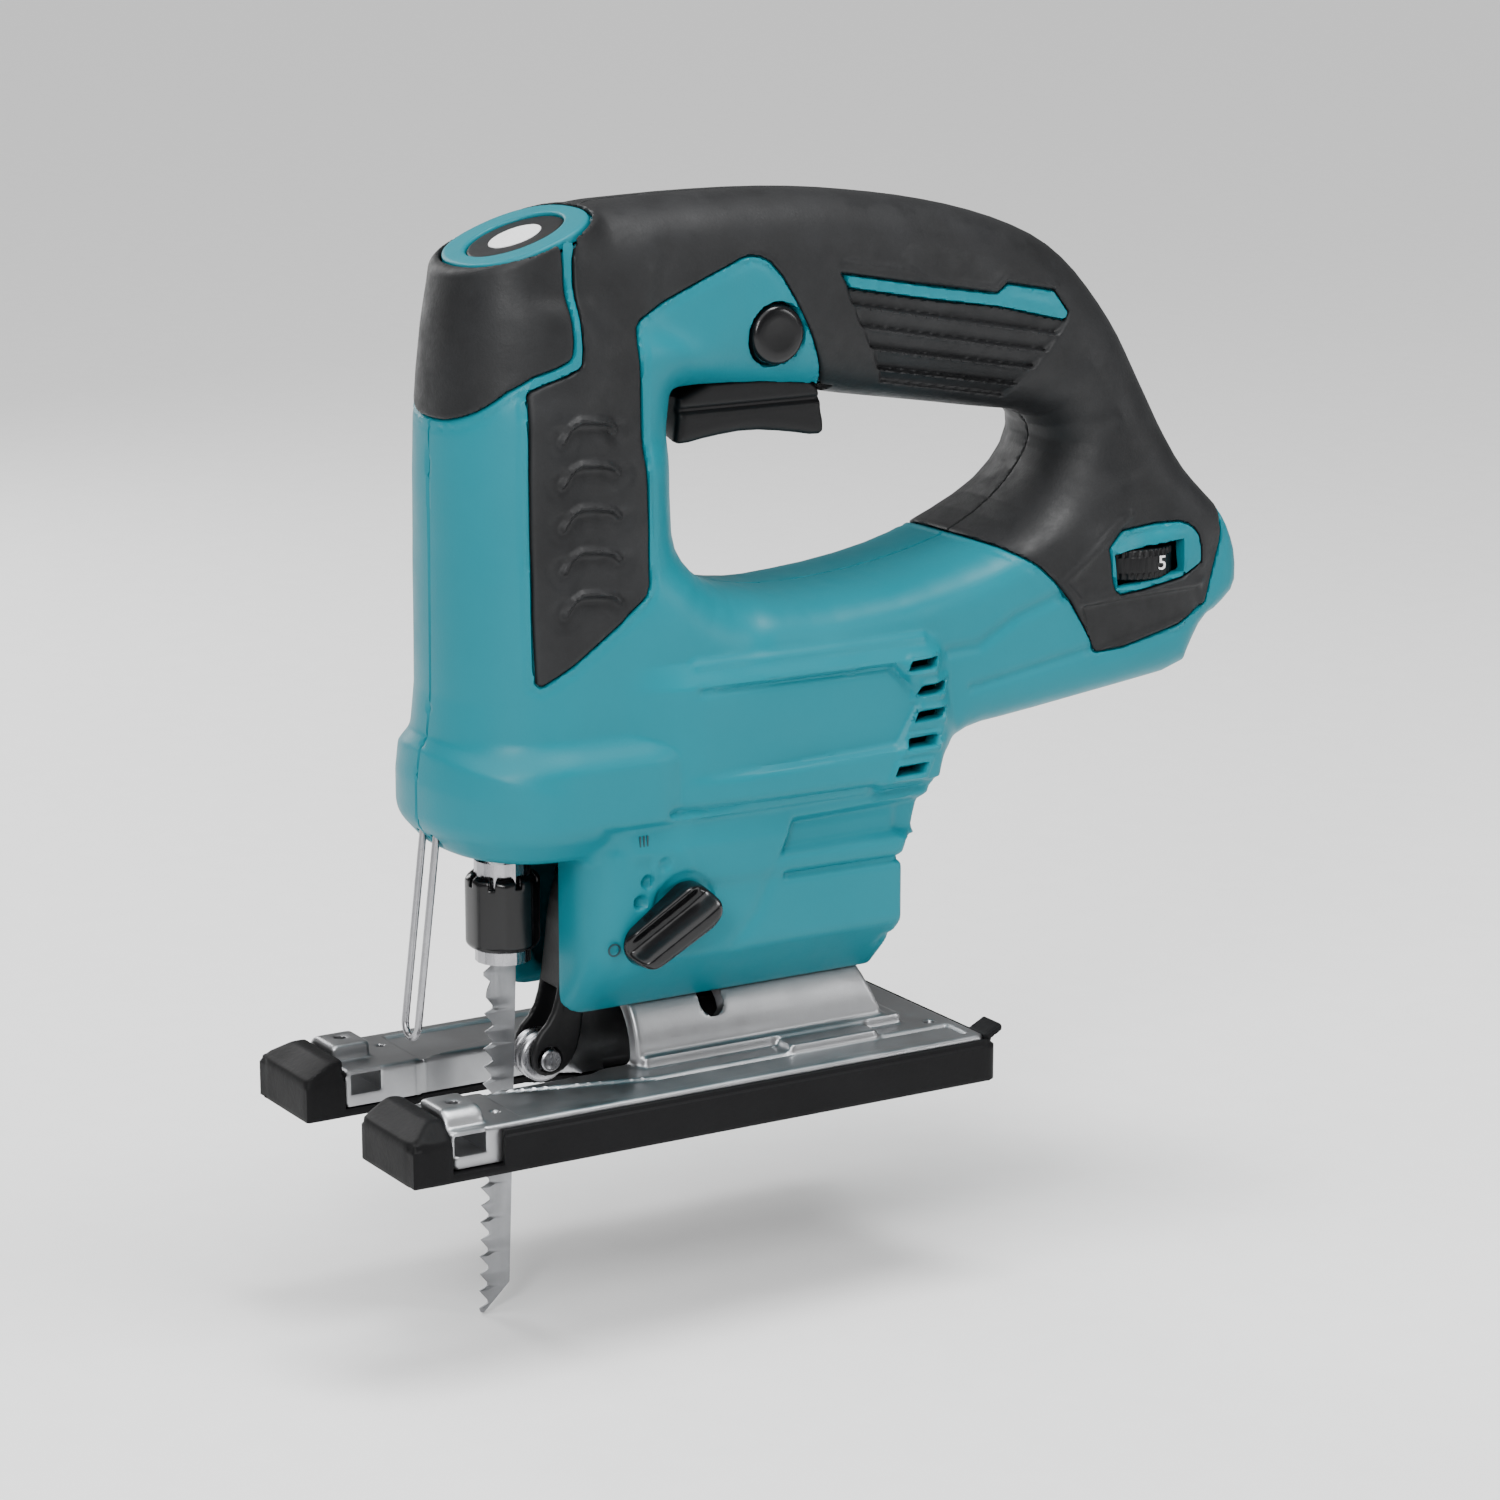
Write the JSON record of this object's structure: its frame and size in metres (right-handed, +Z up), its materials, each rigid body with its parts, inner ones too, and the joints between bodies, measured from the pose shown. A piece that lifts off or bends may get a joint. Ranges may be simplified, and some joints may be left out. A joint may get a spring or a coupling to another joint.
{
  "type": "cordless top-handle jigsaw",
  "caption": "Cordless top-handle jigsaw: teal two-half housing with dark rubber grip, cast tilting base on a black sole, wood blade, blade roller, orbital lever, speed dial and trigger.",
  "frame": {"origin": "on the centre plane of the sole's underside, below the bolt that clamps the base", "axes": "+Z up out of the sole, -Y the way the blade's teeth face and the saw cuts, +X the operator's left"},
  "size_m": [0.0764, 0.2261, 0.247],
  "materials": {
    "housing_teal": "satin moulded nylon",
    "grip_rubber": "soft overmould, matt",
    "black_plastic": "fine grain",
    "cast_aluminium": "die cast, tumbled",
    "bright_steel": "ground",
    "dark_steel": "blackened",
    "winding_copper": "enamelled copper wire",
    "board_green": "solder mask",
    "lamp_lens": "clear"
  },
  "bodies": {
    "housing": {"left_housing": "housing_teal", "right_housing": "housing_teal", "top_ring": "housing_teal", "left_grip": "grip_rubber", "right_grip": "grip_rubber", "front_cap": "grip_rubber", "top_lens": "black_plastic", "switch_body": "black_plastic", "battery_carrier": "black_plastic", "terminal_block": "black_plastic", "base_anchor": "cast_aluminium", "gear_housing": "cast_aluminium", "bevel_clamp_plate": "dark_steel", "gear_pin": "dark_steel", "base_bolt": "bright_steel", "lower_plunger_guide": "bright_steel", "upper_plunger_guide": "bright_steel", "front_bearing": "bright_steel", "rear_bearing": "bright_steel", "holder_pin": "bright_steel", "wire_guard": "bright_steel", "motor_stator": "winding_copper", "controller_board": "board_green", "left_lamp": "lamp_lens", "right_lamp": "lamp_lens", "housing_screw_1": "bright_steel", "housing_screw_2": "bright_steel", "housing_screw_3": "bright_steel", "housing_screw_4": "bright_steel", "housing_screw_5": "bright_steel", "housing_screw_6": "bright_steel"},
    "base": {"base_plate": "cast_aluminium", "base_cover": "black_plastic"},
    "plunger": {"plunger_rod": "bright_steel", "blade": "bright_steel"},
    "blade_collar": {"blade_clamp": "black_plastic"},
    "motor": {"motor_rotor": "dark_steel", "motor_fan": "black_plastic"},
    "crank": {"crank_gear": "bright_steel"},
    "orbital_selector": {"orbital_lever": "black_plastic", "orbital_cam": "dark_steel"},
    "roller_arm": {"roller_holder": "black_plastic", "roller_pin": "bright_steel"},
    "roller": {"blade_roller": "bright_steel"},
    "switch_trigger": {"trigger": "black_plastic"},
    "switch_lock": {"lock_button": "black_plastic"},
    "dial": {"speed_dial": "black_plastic"}
  },
  "joints": [
    {"name": "base_bevel", "type": "hinge", "parent": "housing", "child": "base", "pos_m": [0, 0, 0.0125], "axis": [0, 1, 0], "range_deg": [-45, 45]},
    {"name": "plunger_stroke", "type": "slide", "parent": "housing", "child": "plunger", "axis": [0, 0, 1], "range_m": [-0.009, 0.009]},
    {"name": "collar_release", "type": "hinge", "parent": "plunger", "child": "blade_collar", "pos_m": [0, -0.032, 0.046], "axis": [0, 0, 1], "range_deg": [0, 60], "stiffness_Nm_per_rad": 0.05, "springref_deg": -5.73},
    {"name": "motor_spin", "type": "hinge", "parent": "housing", "child": "motor", "pos_m": [0, 0.03, 0.085], "axis": [0, 1, 0], "continuous": true},
    {"name": "crank_spin", "type": "hinge", "parent": "housing", "child": "crank", "pos_m": [0, -0.006, 0.1084], "axis": [0, 1, 0], "continuous": true},
    {"name": "orbital_select", "type": "hinge", "parent": "housing", "child": "orbital_selector", "pos_m": [0.028, -0.0021, 0.0492], "axis": [1, 0, 0], "range_deg": [-94, 0]},
    {"name": "roller_swing", "type": "hinge", "parent": "housing", "child": "roller_arm", "pos_m": [0, -0.012, 0.05], "axis": [1, 0, 0], "range_deg": [0, 4]},
    {"name": "roller_spin", "type": "hinge", "parent": "roller_arm", "child": "roller", "pos_m": [0, -0.0234, 0.0115], "axis": [1, 0, 0], "continuous": true},
    {"name": "trigger_squeeze", "type": "hinge", "parent": "housing", "child": "switch_trigger", "pos_m": [0, 0.009, 0.158], "axis": [1, 0, 0], "range_deg": [0, 5], "stiffness_Nm_per_rad": 0.3, "springref_deg": -2.86},
    {"name": "lock_slide", "type": "slide", "parent": "housing", "child": "switch_lock", "axis": [1, 0, 0], "range_m": [-0.003, 0.003]},
    {"name": "dial_turn", "type": "hinge", "parent": "housing", "child": "dial", "pos_m": [0.014, 0.1223, 0.1112], "axis": [0, 0, 1], "range_deg": [-220, 55]}
  ],
  "couplings": [
    {"joint": "crank_spin", "follows": "motor_spin", "ratio": -0.33333}
  ]
}
